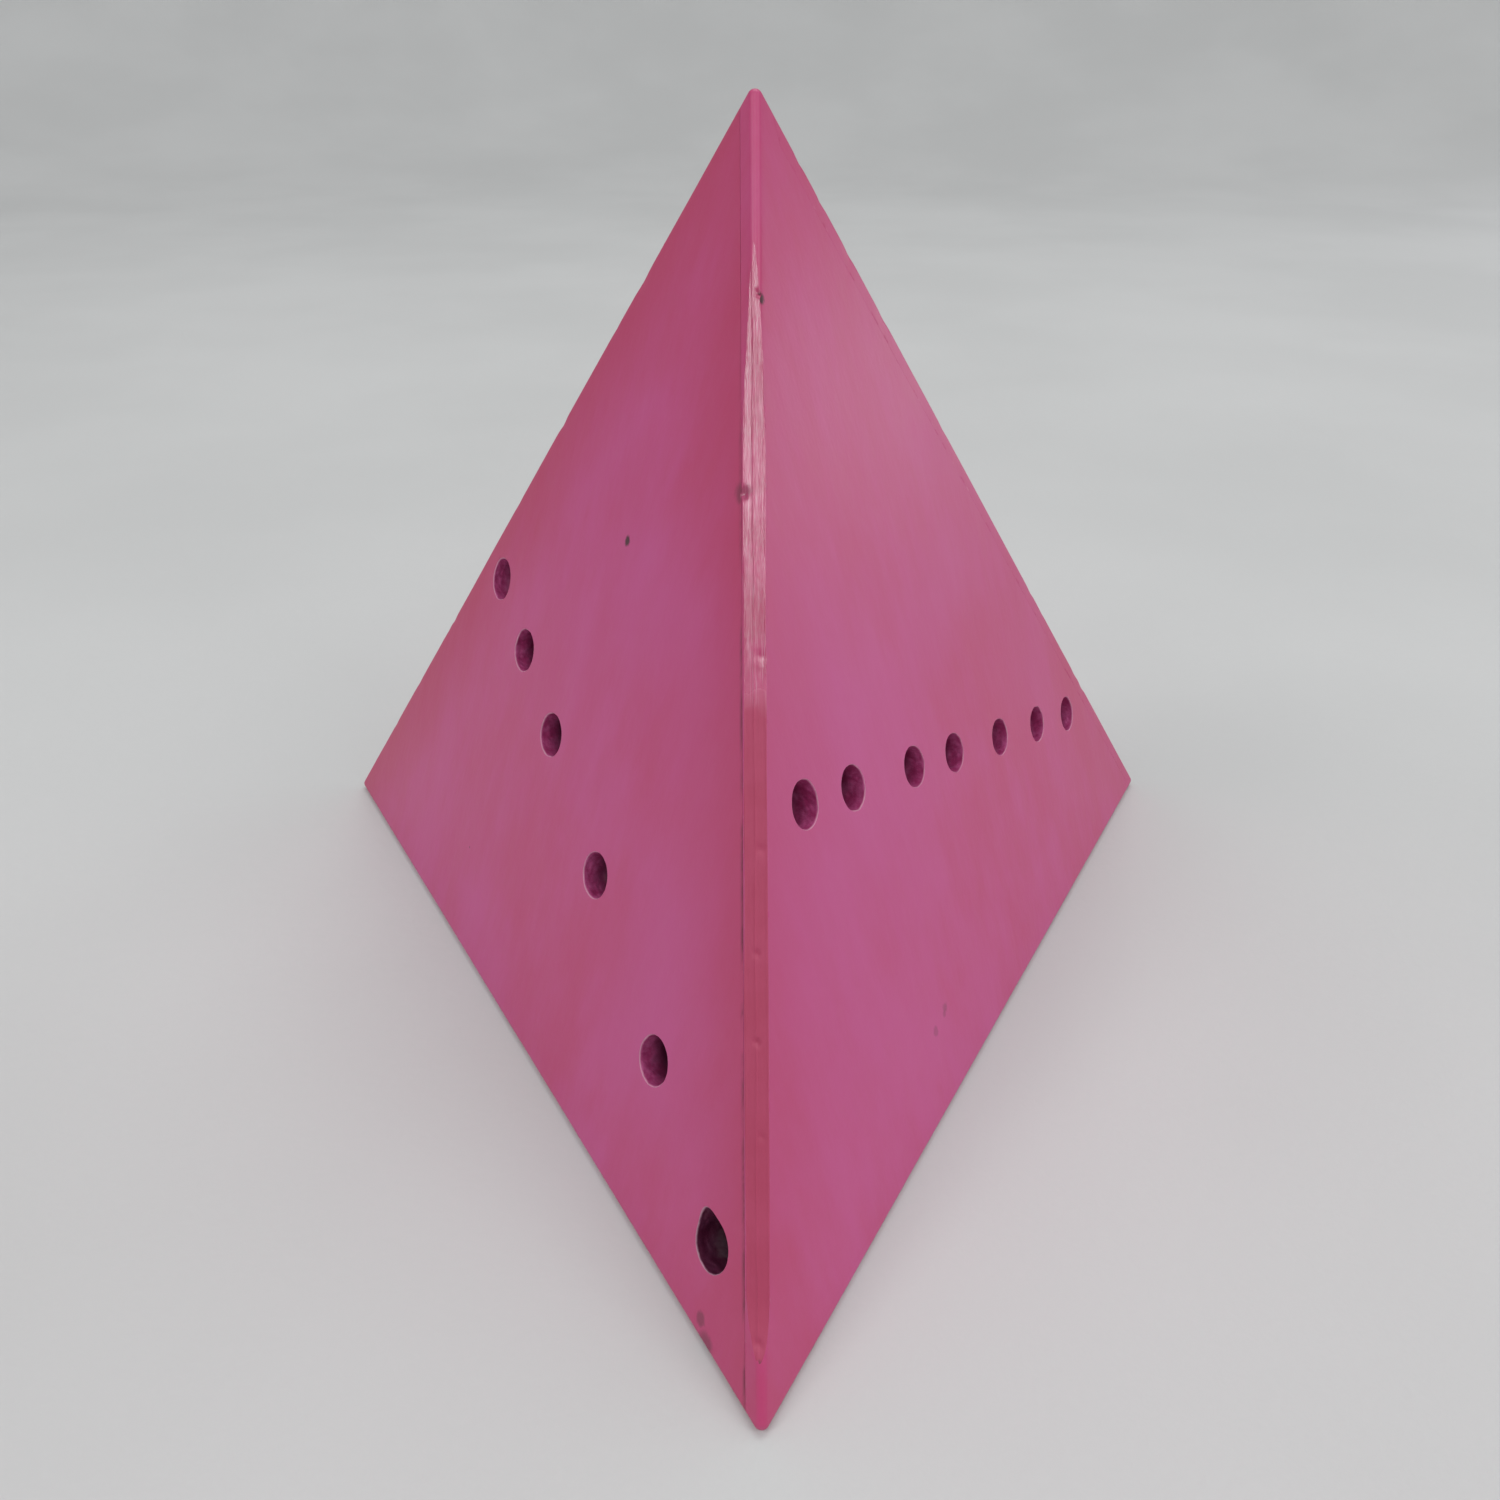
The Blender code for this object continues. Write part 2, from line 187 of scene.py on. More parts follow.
class Link:
    """One output of a shader node. Arithmetic on it adds Math nodes to the same material."""

    def __init__(self, paint, socket):
        self.paint = paint
        self.socket = socket

    def math(self, operation, *values):
        return self.paint.node("ShaderNodeMath", {"operation": operation}, dict(enumerate(values)))

    def __add__(self, other):
        return self.math("ADD", self, other)

    def __sub__(self, other):
        return self.math("SUBTRACT", self, other)

    def __rsub__(self, other):
        return self.math("SUBTRACT", other, self)

    def __mul__(self, other):
        return self.math("MULTIPLY", self, other)

    def __lt__(self, other):
        return self.math("LESS_THAN", self, other)

    def __gt__(self, other):
        return self.math("GREATER_THAN", self, other)

    def band(self, low, high):
        """0 at low and 1 at high, smooth between them."""
        return self.paint.node("ShaderNodeMapRange", {"interpolation_type": "SMOOTHSTEP"},
                               {"Value": self, "From Min": low, "From Max": high})

    __radd__ = __add__
    __rmul__ = __mul__


class Paint:
    """A material with one Principled shader, and the one way in which nodes are added to it."""

    def __init__(self, name, **fixed):
        self.material = bpy.data.materials.new(name)
        self.material.use_nodes = True
        self.tree = self.material.node_tree
        self.shader = self.tree.nodes["Principled BSDF"]
        for socket, value in fixed.items():
            self.shader.inputs[socket.replace("_", " ")].default_value = value
        self.place = self.node("ShaderNodeTexCoord", output="Object")

    def node(self, kind, settings=None, inputs=None, output=0):
        made = self.tree.nodes.new(kind)
        for key, value in (settings or {}).items():
            setattr(made, key, value)
        for socket, value in (inputs or {}).items():
            self.join(made.inputs[socket], value)
        return Link(self, made.outputs[output])

    def join(self, socket, value):
        if isinstance(value, Link):
            self.tree.links.new(value.socket, socket)
        else:
            socket.default_value = value

    def feed(self, socket, value):
        self.join(self.shader.inputs[socket], value)

    def stretch(self, scale, turn=(0, 0, 0)):
        """The piece's own coordinates, in metres, turned and then scaled."""
        return self.node("ShaderNodeMapping", {"vector_type": "POINT"},
                         {"Vector": self.place, "Rotation": turn, "Scale": scale})

    def noise(self, scale, detail=3.0, rough=0.5, stretch=(1, 1, 1), turn=(0, 0, 0)):
        return self.node("ShaderNodeTexNoise", {}, {"Vector": self.stretch(stretch, turn),
                         "Scale": scale, "Detail": detail, "Roughness": rough})

    def blend(self, factor, first, second, how="MIX"):
        """Colour mix: indices 6 and 7 are the colour inputs of the Mix node, 2 its output."""
        first, second = ((*c, 1.0) if isinstance(c, tuple) else c for c in (first, second))
        return self.node("ShaderNodeMix", {"data_type": "RGBA", "blend_type": how},
                         {0: factor, 6: first, 7: second}, output=2)

    def along(self, direction):
        """How far a point lies along a direction from the world's origin."""
        return self.node("ShaderNodeVectorMath", {"operation": "DOT_PRODUCT"},
                         {0: self.place, 1: tuple(direction)}, output="Value")

    def away_from(self, spot):
        return self.node("ShaderNodeVectorMath", {"operation": "DISTANCE"},
                         {0: self.place, 1: tuple(spot)}, output="Value")

    def bump(self, height, strength, distance, under=None):
        inputs = {"Height": height, "Strength": strength, "Distance": distance}
        if under:
            inputs["Normal"] = under
        return self.node("ShaderNodeBump", {}, inputs)


PINK_DEEP = (0.510, 0.024, 0.110)
PINK = (0.560, 0.046, 0.180)
PINK_PALE = (0.600, 0.074, 0.270)


def sanded_resin(name):
    """Faces that are sanded to fit or never seen: dull, paler, with the marks of the paper."""
    paint = Paint(name, IOR=1.5)
    cloud = paint.noise(90, 4)
    lines = paint.noise(420, 2, stretch=(1, 0.05, 0.05), turn=(0.3, 0.2, 0.6))
    colour = paint.blend(cloud.band(0.35, 0.65), PINK, PINK_PALE)
    paint.feed("Base Color", paint.blend(lines.band(0.5, 0.75) * 0.35, colour, (0.72, 0.24, 0.42)))
    paint.feed("Roughness", cloud * 0.2 + 0.52)
    scratch = paint.bump(lines, 0.35, 0.0002)
    paint.feed("Normal", paint.bump(paint.noise(1500, 2), 0.2, 0.0001, scratch))
    return paint.material


def base_frustum(name, growth, low, high, material):
    """The base between two heights: its sides run from the seams to the foot of the inner faces."""
    foot = half_width(0, 0) - ROUND_FOOT - SEAM_INSET
    slope = (foot - half_width(WALL, WALL)) / WALL
    shift = foot + growth * math.sqrt(1 + slope * slope)
    return frustum(name, low, high, shift - slope * low, shift - slope * high, material)


POUR = {"top": 0.006, "foot": 0.007, "head": 0.0088}    # radii of a hole, up to its head's seat
VENT = {"top": 0.0012, "foot": 0.0016, "head": 0.003}
HEAD_THICK = 0.0018
HEAD_RECESS = 0.0010
VENT_OUT = 2 * half_width(FLOOR, FLOOR) - 0.010         # from the middle to a vent


def countersink(name, place, top, foot, head):
    """Cutter for a tapered hole with a seat for a stopper's head, both with eased mouths."""
    rise = (top - foot) / FLOOR
    ease = 0.0002
    past = 0.001                # how far the cutter stands out of the slab
    seat = HEAD_RECESS + HEAD_THICK
    profile = [(0, FLOOR + past), (top + past, FLOOR + past), (top + ease, FLOOR),
               (top, FLOOR - ease), (foot + rise * (seat + ease), seat + ease),
               (foot + rise * seat + ease, seat), (head, seat), (head, ease), (head + ease, 0),
               (head + past, -past), (0, -past)]
    return lathe(name, profile, sanded, place)


DOWEL_RADIUS = 0.00125
DOWEL_LENGTH = 0.006
DOWEL_SPREAD = 0.022        # from the middle of a slanted seam to each of its dowels
DOWEL_DEPTH_SHARE = 0.62    # how far a dowel lies in along its seam
DOWN = Vector((0, 0, -1))


def dowel_hole(name, place):
    """Cutter for a dowel's bore, with clearance all round."""
    bore, end = DOWEL_RADIUS + GAP, DOWEL_LENGTH / 2 + GAP
    return lathe(name, [(0, end), (bore, end), (bore, -end), (0, -end)], sanded, place, 40)


def wall_normal(turn):
    """Outward direction of a wall, from its turn about the upright axis."""
    return Vector((LEVEL * math.cos(turn), LEVEL * math.sin(turn), 1 / 3))


def seam_line(cut_back, nose):
    """Two points of a seam, beside its edge and at the inner corner, and the edge's direction."""
    middle = Vector(CENTRE) + 1.5 * INRADIUS * (cut_back + nose)
    inwards = (-nose - cut_back / 3).normalized()
    outer = middle + inwards * (ROUND_FOOT + SEAM_INSET)
    inner = middle + inwards * (WALL / math.tan(HALF_ANGLE)) - cut_back * WALL
    return outer, inner, cut_back.cross(nose).normalized()


def across_seam(cut_back, nose, draw, offset):
    """Place of a dowel on a seam, pointing along the way that the two pieces part."""
    outer, inner, edge = seam_line(cut_back, nose)
    spot = outer.lerp(inner, DOWEL_DEPTH_SHARE) + edge * offset
    return Matrix.Translation(spot) @ draw.to_track_quat("Z", "Y").to_matrix().to_4x4()


sanded = sanded_resin("sanded_resin")
base = base_frustum("base_slab", -GAP / 2, 0, WALL, sanded)
ease = base.modifiers.new("eased_edges", "BEVEL")
ease.width = 0.00015
ease.segments = 2
cut(base, countersink("pour_hole", on_axis(), **POUR))
for corner, turn in CORNER_TURNS.items():
    cut(base, countersink(corner + "_vent_hole", on_axis(turn, VENT_OUT), **VENT))
base_dowel_places = {}
for side, turn in WALL_TURNS.items():
    normal = wall_normal(turn)
    base_dowel_places[side] = across_seam(DOWN, normal, normal, 0)
    cut(base, dowel_hole(side + "_base_dowel_hole", base_dowel_places[side]))


SEAL_RADIUS = 0.0007
SEAL_CORNER = 0.003


def cord_ring(name, thickness, material, sides=24, arc=16):
    """Round cord swept along a triangle with rounded corners, under the liner's rim.

    Each point is the path's point plus the cord's circle, in the path's upright cross plane.
    """
    half = (half_width(WALL + GAP, WALL + GAP) + half_width(WALL + GAP, FLOOR)) / 2
    turns = np.array([CORNER_TURNS[c] for c in ("front", "right", "left")])[:, None]
    bend = turns + np.radians(np.linspace(-60, 60, arc))[None, :]
    out = 2 * (half - SEAL_CORNER)
    line = np.stack([out * np.cos(turns) + SEAL_CORNER * np.cos(bend),
                     out * np.sin(turns) + SEAL_CORNER * np.sin(bend)], axis=-1).reshape(-1, 2)
    outward = np.stack([np.cos(bend), np.sin(bend)], axis=-1).reshape(-1, 2)
    phase = np.linspace(0, 2 * math.pi, sides, endpoint=False)
    level = line[:, None] + outward[:, None] * (thickness * np.cos(phase))[None, :, None]
    height = np.broadcast_to(WALL - SEAL_RADIUS + thickness * np.sin(phase), level.shape[:2])
    rows = np.concatenate([level, height[..., None]], axis=-1)
    rows = np.concatenate([rows, rows[:1]])
    return around(name, rows, material, on_axis())


cut(base, cord_ring("seal_groove", SEAL_RADIUS + GAP, sanded))
settle(base, "base", "base_plate")

# ---------------------------------------------------------------------------------------------
# Silicone: the floor pad, the rim seal and the liner. All are cast or cut from milky silicone
# rubber, satin where they touched the pattern, with fine bubbles just under the skin. The liner
# is a hollow tetrahedron, open at its foot, which the pad closes.

MILKY = (0.78, 0.77, 0.71)


def silicone(name, tint):
    """Milky rubber: light goes a little way into it, and bubbles dimple the skin."""
    paint = Paint(name, Subsurface_Weight=0.35, Subsurface_Scale=0.004,
                  Subsurface_Radius=(1.0, 0.9, 0.75), IOR=1.42)
    haze = paint.noise(60, 4)
    paint.feed("Base Color", paint.blend(haze.band(0.3, 0.7), tint, tuple(c * 0.86 for c in tint)))
    paint.feed("Roughness", paint.noise(140, 3) * 0.24 + 0.34)
    bubbles = paint.node("ShaderNodeTexVoronoi", {"feature": "F1"},
                         {"Vector": paint.place, "Scale": 420.0}, output="Distance")
    dimple = paint.bump(bubbles.band(0.10, 0.25), 0.12, 0.0002)
    paint.feed("Normal", paint.bump(paint.noise(700, 3), 0.15, 0.0002, dimple))
    return paint.material


def arc_weights(weights):
    """Weights that turn evenly between two outward normals, which lie 109.5 degrees apart."""
    return np.sin(weights * (math.pi - 2 * HALF_ANGLE))


def triangle_grid(order):
    """Barycentric weights of a triangle's grid points, and its small triangles."""
    row, column = np.indices((order + 1, order + 1))
    inside = row + column <= order
    index = np.full(row.shape, -1)
    index[inside] = np.arange(inside.sum())
    weights = np.stack([order - row - column, row, column], axis=-1)[inside] / order
    upward = row + column < order
    downward = row + column < order - 1
    r, c = row[upward], column[upward]
    first = np.stack([index[r, c], index[r + 1, c], index[r, c + 1]], axis=-1)
    r, c = row[downward], column[downward]
    second = np.stack([index[r + 1, c], index[r + 1, c + 1], index[r, c + 1]], axis=-1)
    return weights, np.concatenate([first, second])


def tetrahedron(name, inset, low, rounding, material, along=24, arc=5, shape=None):
    """Regular tetrahedron with rolled edges: an inner one, with a ball rolled over its surface.

    Faces are triangular grids, edges are strips of arcs, and corners are parts of a sphere.
    shape may move the points, given with their outward directions.
    """
    point = INRADIUS + 3 * (INRADIUS - inset)
    inradius = (point - low) / 4
    middle = np.array((CENTRE[0], CENTRE[1], low + inradius))
    outward = [wall_normal(WALL_TURNS[side]) for side in ("right", "back", "left")]
    outward = np.array(outward + [DOWN])
    corners = middle - outward * 3 * (inradius - rounding)
    points, ways, faces = [], [], []

    def add(spots, directions, cells):
        faces.append(cells + sum(len(p) for p in points))
        points.append(spots + directions * rounding)
        ways.append(directions)

    grid, cells = triangle_grid(along)
    ball, ball_cells = triangle_grid(arc)
    length, bend = np.meshgrid(np.linspace(0, 1, along + 1), np.linspace(0, 1, arc + 1),
                               indexing="ij")
    here = np.arange(length.size).reshape(length.shape)
    quads = [here[:-1, :-1], here[1:, :-1], here[1:, 1:], here[:-1, 1:]]
    strip = np.stack(quads, axis=-1).reshape(-1, 4)
    strip = np.concatenate([strip[:, :3], strip[:, [0, 2, 3]]])
    for k in range(4):
        others = [j for j in range(4) if j != k]
        add(grid @ corners[others], np.broadcast_to(outward[k], grid.shape), cells)
        turned = arc_weights(ball) @ outward[others]
        turned /= np.linalg.norm(turned, axis=1, keepdims=True)
        add(np.broadcast_to(corners[k], ball.shape), turned, ball_cells)
        for j in range(k + 1, 4):
            ends = [i for i in range(4) if i not in (k, j)]
            t, s = length.reshape(-1, 1), bend.reshape(-1, 1)
            turned = arc_weights(1 - s) * outward[k] + arc_weights(s) * outward[j]
            turned /= np.linalg.norm(turned, axis=1, keepdims=True)
            add((1 - t) * corners[ends[0]] + t * corners[ends[1]], turned, strip)
    points, ways = np.concatenate(points), np.concatenate(ways)
    if shape:
        points = shape(points, ways)
    return new_object(name, points, np.concatenate(faces).tolist(), material)


pad_silicone = silicone("pad_silicone", MILKY)
inset = FLOOR + GAP
pad = frustum("floor_pad_sheet", WALL + GAP, FLOOR, half_width(WALL + GAP, inset),
              half_width(FLOOR, inset), pad_silicone)
ease = pad.modifiers.new("eased_edges", "BEVEL")
ease.width = 0.0006
ease.segments = 4
cut(pad, countersink("pad_pour_hole", on_axis(), **POUR))
for corner, turn in CORNER_TURNS.items():
    cut(pad, countersink(corner + "_pad_vent_hole", on_axis(turn, VENT_OUT), **VENT))
settle(pad, "base", "floor_pad")

seal = cord_ring("rim_seal_cord", SEAL_RADIUS, silicone("seal_silicone", (0.74, 0.72, 0.66)))
settle(seal, "base", "rim_seal", 60)

liner_silicone = silicone("liner_silicone", MILKY)


def swell(points, ways):
    """Cast rubber is never quite flat: slow waves of 0.05 mm, always inwards."""
    wave = np.sin(points @ (310, 140, 90)) * np.sin(points @ (-120, 260, 180) + 1.3)
    return points - ways * (0.00005 * (1 + wave))[:, None]


liner = tetrahedron("liner_skin", WALL + GAP, WALL + GAP, 0.0008, liner_silicone, 60, 6, swell)
cavity = tetrahedron("liner_cavity", FLOOR, WALL - 2 * LINER, 0.0005, liner_silicone, 40, 4)
cut(liner, cavity)
settle(liner, "liner", "silicone_liner")

# ---------------------------------------------------------------------------------------------
# Walls. Three slabs of cast pink resin, gloss painted outside and sanded where they meet. Each
# keeps the rounded nose of its left-hand edge and of its foot, and is cut back beside the next
# wall's nose. A row of pits is drilled by hand into each, and the noses are nicked with use.


def ripple(points, seed, size, count=9):
    """Smooth noise from -1 to 1: a sum of sine waves in random directions, about size long."""
    random = np.random.default_rng(seed)
    wave = random.normal(size=(count, 3))
    length = np.linalg.norm(wave, axis=1)
    wave *= (2 * math.pi / size / length * random.uniform(0.6, 1.4, count))[:, None]
    return np.sin(points @ wave.T + random.uniform(0, 2 * math.pi, count)).mean(axis=1) * 1.8


def edge_spot(cut_back, nose, share):
    """Point on the rolled edge between two walls, at a share of the way from the top corner."""
    top = np.array(CENTRE) + np.array((0, 0, 3 * INRADIUS))
    middle = CENTRE + 1.5 * INRADIUS * np.array(cut_back + nose)
    crest = np.array((cut_back + nose).normalized()) * EDGE_ROUND * (1 / math.sin(HALF_ANGLE) - 1)
    return top + (middle - top) * 2 * share - crest


DENTS = 9                   # on each of the two edges that aren't sanded flat


def worn(points, ways):
    """Hand-sanded faces, slowly wavy, and side edges with small dents along them.

    A dent is a bell shape, pushed in along the outward direction.
    """
    slow = ripple(points, 3, 0.045) * 0.00004 + ripple(points, 4, 0.012) * 0.000008
    sink = 0.00005 + slow
    random = np.random.default_rng(11)
    sides = [wall_normal(turn) for turn in WALL_TURNS.values()]
    for first, second in ((sides[0], sides[1]), (sides[1], sides[2])):
        for _ in range(DENTS):
            spot = edge_spot(first, second, random.uniform(0.05, 0.95))
            reach = np.linalg.norm(points - spot, axis=1) / (random.uniform(0.6, 1.3) * 0.001)
            sink = sink + random.uniform(0.03, 0.12) * 0.001 * np.exp(-(reach ** 2) * 1.6)
    return points - ways * np.maximum(sink, 0.00001)[:, None]


def smooth(value, low, high):
    """0 at low and 1 at high, with level ends."""
    t = np.clip((value - low) / (high - low), 0, 1)
    return t * t * (3 - 2 * t)


def front_edge():
    """Top corner, and the directions out of, down and across the front edge."""
    left, right = wall_normal(WALL_TURNS["left"]), wall_normal(WALL_TURNS["right"])
    out = np.array((left + right).normalized())
    down = -np.array(left.cross(right).normalized())
    return np.array(CENTRE) + np.array((0, 0, 3 * INRADIUS)), out, down, np.cross(out, down)


def on_edge(share, across=0.0, depth=0.0012):
    """Point on the front edge: a share of the way down, then a step across and one inwards."""
    top, out, down, side = front_edge()
    return top + down * share * EDGE + side * across - out * depth


# Nicks in the flat: share of the way down, place across in metres, width and depth in mm.
NICKS = ((0.172, 0.0003, 0.30, 0.30), (0.322, -0.0011, 0.5, 0.24), (0.445, 0.0004, 0.5, 0.10),
         (0.586, 0.0002, 0.5, 0.12), (0.661, -0.0002, 0.35, 0.16), (0.724, -0.0002, 0.35, 0.20),
         (0.79, 0.0001, 0.35, 0.10), (0.932, -0.0002, 0.45, 0.20), (0.955, 0.0002, 0.6, 0.16))


# Ridges that the sanding block left: place across the flat and height, in metres.
RIDGES = ((-0.00110, 0.000045), (-0.00030, 0.000060), (0.00062, 0.000052))
RIDGE_WIDTH = 0.00007
FLAT_DEPTH = 0.00132        # below the sharp edge, in the middle of the flat
FLAT_TILT = 0.36
FLAT_CROWN = 0.00006


def sanding_tool(name, material):
    """Cutter that takes a flat off the front edge, as a sanding block held a little askew does.

    Its face is a grid down the edge and across it. It lies deeper towards the left, comes up out
    of the edge at both ends, waves slowly, and carries three ridges and the nicks, which are
    bell shapes.
    """
    top, out, down, side = front_edge()
    step = np.linspace(0.002, EDGE + 0.002, 560)[:, None]
    across = np.linspace(-0.0026, 0.0026, 72)[None, :]
    flat = top + step[..., None] * down + across[..., None] * side
    depth = FLAT_DEPTH - FLAT_TILT * across - FLAT_CROWN * (1 - ((across + 0.0003) / 0.001) ** 2)
    top_lift = 0.00076 * (1 - smooth(step, 0.012, 0.032))
    lift = top_lift + 0.0011 * smooth(step, EDGE - 0.011, EDGE - 0.003)
    wander = np.sin(step * 330) * 0.00003 + np.sin(step * 900 + 1) * 0.00001
    for place, high in RIDGES:
        depth = depth - high * np.exp(-(((across - place - wander) / RIDGE_WIDTH) ** 2))
    depth = depth - lift
    slow = ripple((flat * (1, 0.3, 0.3)).reshape(-1, 3), 21, 0.004).reshape(depth.shape)
    depth = depth + slow * 0.000018
    for share, aside, width, deep in NICKS:
        reach = np.hypot(step - share * EDGE, across - aside) / (width * 0.001)
        depth = depth + deep * 0.001 * np.exp(-(reach ** 2) * 1.6)
    inner = flat - depth[..., None] * out
    back = flat[:, [-1, 0]] + out * 0.004
    grid = np.concatenate([inner, back], axis=1)
    ends = [np.broadcast_to(grid[k].mean(axis=0), grid[k].shape)[None] for k in (0, -1)]
    return around(name, np.concatenate([ends[0], grid, ends[1]]), material)


GRIME = (0.070, 0.006, 0.018)


def face_spot(side, right, up):
    """Point on a wall's outer face, in shares of EDGE from its middle."""
    return np.array(wall_frame(WALL_TURNS[side]) @ Vector((right * EDGE, up * EDGE, 0)))


def levels(paint, side):
    """How deep a point lies below a wall's own face, the next wall's and the last wall's."""
    turn = WALL_TURNS[side]
    facings = [wall_normal(turn + math.radians(step)) for step in (0, 120, -120)]
    return [INRADIUS + Vector(CENTRE).dot(facing) - paint.along(facing) for facing in facings]


def marked(paint, colour, marks):
    """Adds ragged dark marks, each with its middle, its reach in mm and its strength."""
    ragged = paint.noise(900, 4, 0.7, stretch=(1, 1, 0.4)) * 0.0012 - 0.0006
    for spot, reach, strength in marks:
        near = 1 - (paint.away_from(spot) + ragged).band(reach * 0.0004, reach * 0.001)
        colour = paint.blend(near * strength, colour, GRIME)
    return colour


def painted_resin(name, side, marks=()):
    """The outside: pink paint, richer beside the edges, with dirt along the seam and lilac patches
    of painted sheen.
    """
    paint = Paint(name, IOR=1.62)
    next_face, last_face = levels(paint, side)[1:]
    mottle = paint.noise(34, 5, 0.55)
    streak = paint.noise(160, 4, 0.6, stretch=(1, 1, 0.07))
    fine = paint.noise(520, 3, 0.6, stretch=(1, 1, 0.12))
    tone = (mottle * 0.5 + streak * 0.35 + fine * 0.15).band(0.36, 0.64)
    colour = paint.blend(tone, PINK, PINK_PALE)
    # Painted sheen: pale lilac patches stand in for the room's reflection in the gloss paint.
    painted_sheen = paint.noise(26, 2, 0.4, turn=(0.4, 0.9, 0.2)).band(0.48, 0.68)
    colour = paint.blend(painted_sheen * 0.5, colour, (0.60, 0.085, 0.310))
    ragged = paint.noise(120, 4, 0.65, stretch=(1, 1, 0.35)) * 0.008
    near = next_face.math("MINIMUM", next_face, last_face)
    rich = 1 - (near + ragged).band(0.002, 0.018)
    colour = paint.blend(rich * (0.85 if side == "left" else 0.4), colour, PINK_DEEP)
    grit = paint.noise(300, 4, 0.7, stretch=(1, 1, 0.15))
    top, _, down, _ = front_edge()
    low = (paint.along(down) - float(top @ down) + ragged).band(0.024, 0.040)
    seam = (1 - next_face.band(0.0021, 0.0026)) * grit.band(0.35, 0.65) * low
    seam = seam * (0.75 if side == "left" else 0.0)
    colour = paint.blend(seam, colour, GRIME)
    speck = paint.node("ShaderNodeTexVoronoi", {"feature": "F1"},
                       {"Vector": paint.place, "Scale": 105.0}, output="Distance")
    dotted = (speck < 0.022) * (paint.noise(45, 1) > 0.62)
    colour = paint.blend(dotted * 0.6, colour, GRIME)
    paint.feed("Base Color", marked(paint, colour, marks))
    paint.feed("Roughness", (mottle * 0.16 + fine * 0.10 + 0.27) + seam * 0.3)
    broad = paint.bump(mottle, 0.25, 0.0008)
    brushed = paint.bump(paint.noise(900, 3, 0.6, stretch=(1, 1, 0.06)), 0.16, 0.00015, broad)
    paint.feed("Normal", paint.bump(paint.noise(2600, 2), 0.10, 0.00008, brushed))
    return paint.material


def sanded_flat(name, marks):
    """The front edge's flat: deep red-pink, with the long fine scratches of the paper, pale on the
    upper half partly as painted highlight.

    Its lower half was sanded more coarsely and is dull.
    """
    paint = Paint(name, IOR=1.85)
    top, out, down, side = front_edge()
    drop = paint.along(down) - float(top @ down)
    across = paint.along(side)
    coords = paint.node("ShaderNodeCombineXYZ", {}, {"X": across * 9000, "Y": drop * 260})
    lines = paint.node("ShaderNodeTexNoise", {}, {"Vector": coords, "Scale": 1.0, "Detail": 3.0})
    ticks = paint.node("ShaderNodeTexNoise", {}, {"Vector": coords, "Scale": 2.3, "Detail": 2.0})
    blotch = paint.noise(260, 4, 0.6)
    dull = (drop + blotch * 0.004).band(0.0535, 0.0560)
    colour = paint.blend(blotch.band(0.35, 0.65), (0.47, 0.030, 0.125), (0.57, 0.060, 0.190))
    colour = paint.blend(dull * 0.75, colour, (0.43, 0.010, 0.078))
    # Pale lines on the upper flat only: scratched paint, and in part a painted highlight where the
    # flat would mirror the lamps.
    pale = lines.band(0.52, 0.70) * (1 - dull)
    colour = paint.blend(pale * 0.45, colour, (0.80, 0.42, 0.55))
    paint.feed("Base Color", marked(paint, colour, marks))
    paint.feed("Roughness", 0.17 + dull * 0.42 + lines * 0.08)
    scratch = paint.bump(lines, 0.5, 0.00005)
    paint.feed("Normal", paint.bump(ticks, 0.35, 0.00004, scratch))
    return paint.material


def pit_resin_painted_shade(name, painted_shade_strength):
    """Inside of a pit: bare resin left by the drill, with painted highlight at the lip and painted
    shade below it.
    """
    paint = Paint(name, IOR=1.3)
    depths = [levels(paint, side)[0] for side in WALL_TURNS]
    depth = depths[0].math("MINIMUM", depths[0].math("MINIMUM", depths[0], depths[1]), depths[2])
    grain = paint.noise(800, 4, 0.65)
    colour = paint.blend(grain.band(0.35, 0.7), (0.38, 0.036, 0.150), (0.54, 0.100, 0.280))
    # Painted shade: the inside darkens with depth below the face, as a pit's walls shade it. The
    # second argument sets its strength.
    low = (depth + grain * 0.0008).band(0.0010, 0.0034)
    colour = paint.blend(low * painted_shade_strength, colour, (0.030, 0.003, 0.012))
    # Painted shadow: the lowest pit of the left row is painted near black, as its inside lies in
    # shade.
    painted_pit_shadow = 1 - paint.away_from(LOWEST_PIT).band(0.0035, 0.0045)
    colour = paint.blend(painted_pit_shadow * 0.8, colour, (0.012, 0.002, 0.005))
    # Painted highlight: the rim of each pit's mouth is painted pale, as if it caught the light.
    lip = 1 - (depth + grain * 0.0002).band(0.00016, 0.00030)
    colour = paint.blend(lip * 0.65, colour, (0.80, 0.42, 0.56))
    paint.feed("Base Color", colour)
    paint.feed("Roughness", grain * 0.25 + 0.40)
    paint.feed("Normal", paint.bump(grain, 0.6, 0.0002))
    return paint.material


def seam_block(name, cut_back, nose, on_nose, start):
    """Big block on one side of a seam, from a distance off it, for cutting along the seam."""
    outer, inner, edge = seam_line(cut_back, nose)
    facing = edge.cross(inner - outer).normalized()
    if (facing.dot(nose) > 0) != on_nose:
        facing = -facing
    reach = 1.5 * EDGE
    axes = facing.to_track_quat("Z", "Y").to_matrix()
    sign = np.array([(x, y, z) for z in (0, 1) for y in (-1, 1) for x in (-1, 1)], float)
    points = sign * (reach, reach, 2 * reach) @ np.array(axes).T + np.array(outer + facing * start)
    faces = [(0, 2, 3, 1), (4, 5, 7, 6), (0, 1, 5, 4), (2, 6, 7, 3), (0, 4, 6, 2), (1, 3, 7, 5)]
    return new_object(name, points, faces, sanded)


